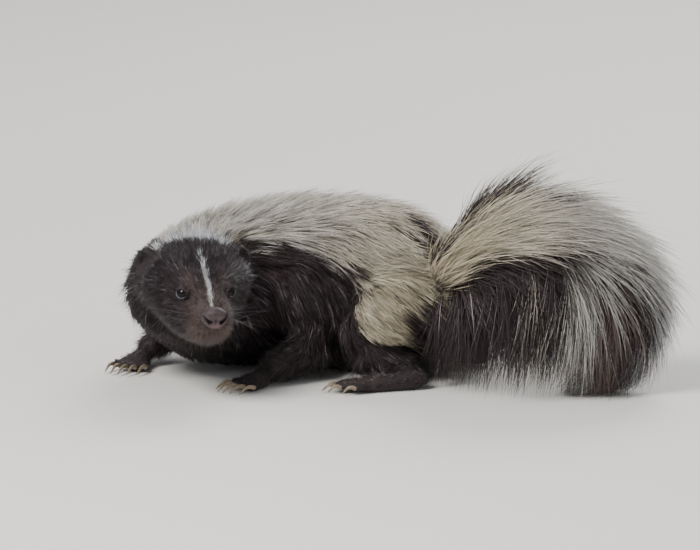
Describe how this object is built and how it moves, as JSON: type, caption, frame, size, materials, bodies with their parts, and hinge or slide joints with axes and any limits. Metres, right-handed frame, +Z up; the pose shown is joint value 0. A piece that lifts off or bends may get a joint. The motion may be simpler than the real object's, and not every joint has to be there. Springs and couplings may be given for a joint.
{
  "type": "striped skunk",
  "caption": "Still museum model of a striped skunk crouched on its belly, curled to its left, with the head turned to face ahead and the bushy tail arched beside it.",
  "frame": {"origin": "on the floor under the middle of the whole animal's box", "axes": "+Z up; the face looks along -Y; +X runs from the head's side to the tail's side, along the animal's left"},
  "size_m": [0.3078, 0.1968, 0.132],
  "materials": {
    "short_fur": "short black fur, slightly brown, matt",
    "long_coat": "long soft hair, black with cream white stripes, satin",
    "nose_skin": "bare moist skin, fine grained",
    "eye": "wet, dark brown, glossy"
  },
  "bodies": {
    "root": {"chest": "long_coat", "ear_left": "short_fur", "ear_right": "short_fur", "eye_left": "eye", "eye_right": "eye", "foreleg_left_lower": "short_fur", "foreleg_left_upper": "short_fur", "foreleg_right_lower": "short_fur", "foreleg_right_upper": "short_fur", "haunches": "long_coat", "head": "short_fur", "hindleg_left_lower": "short_fur", "hindleg_left_upper": "short_fur", "hindleg_right_lower": "short_fur", "hindleg_right_upper": "short_fur", "jaw": "short_fur", "neck": "long_coat", "nose": "nose_skin", "paw_fore_left": "short_fur", "paw_fore_right": "short_fur", "paw_hind_left": "short_fur", "paw_hind_right": "short_fur", "tail_base": "long_coat", "tail_end": "long_coat", "tail_middle": "long_coat"}
  },
  "joints": []
}
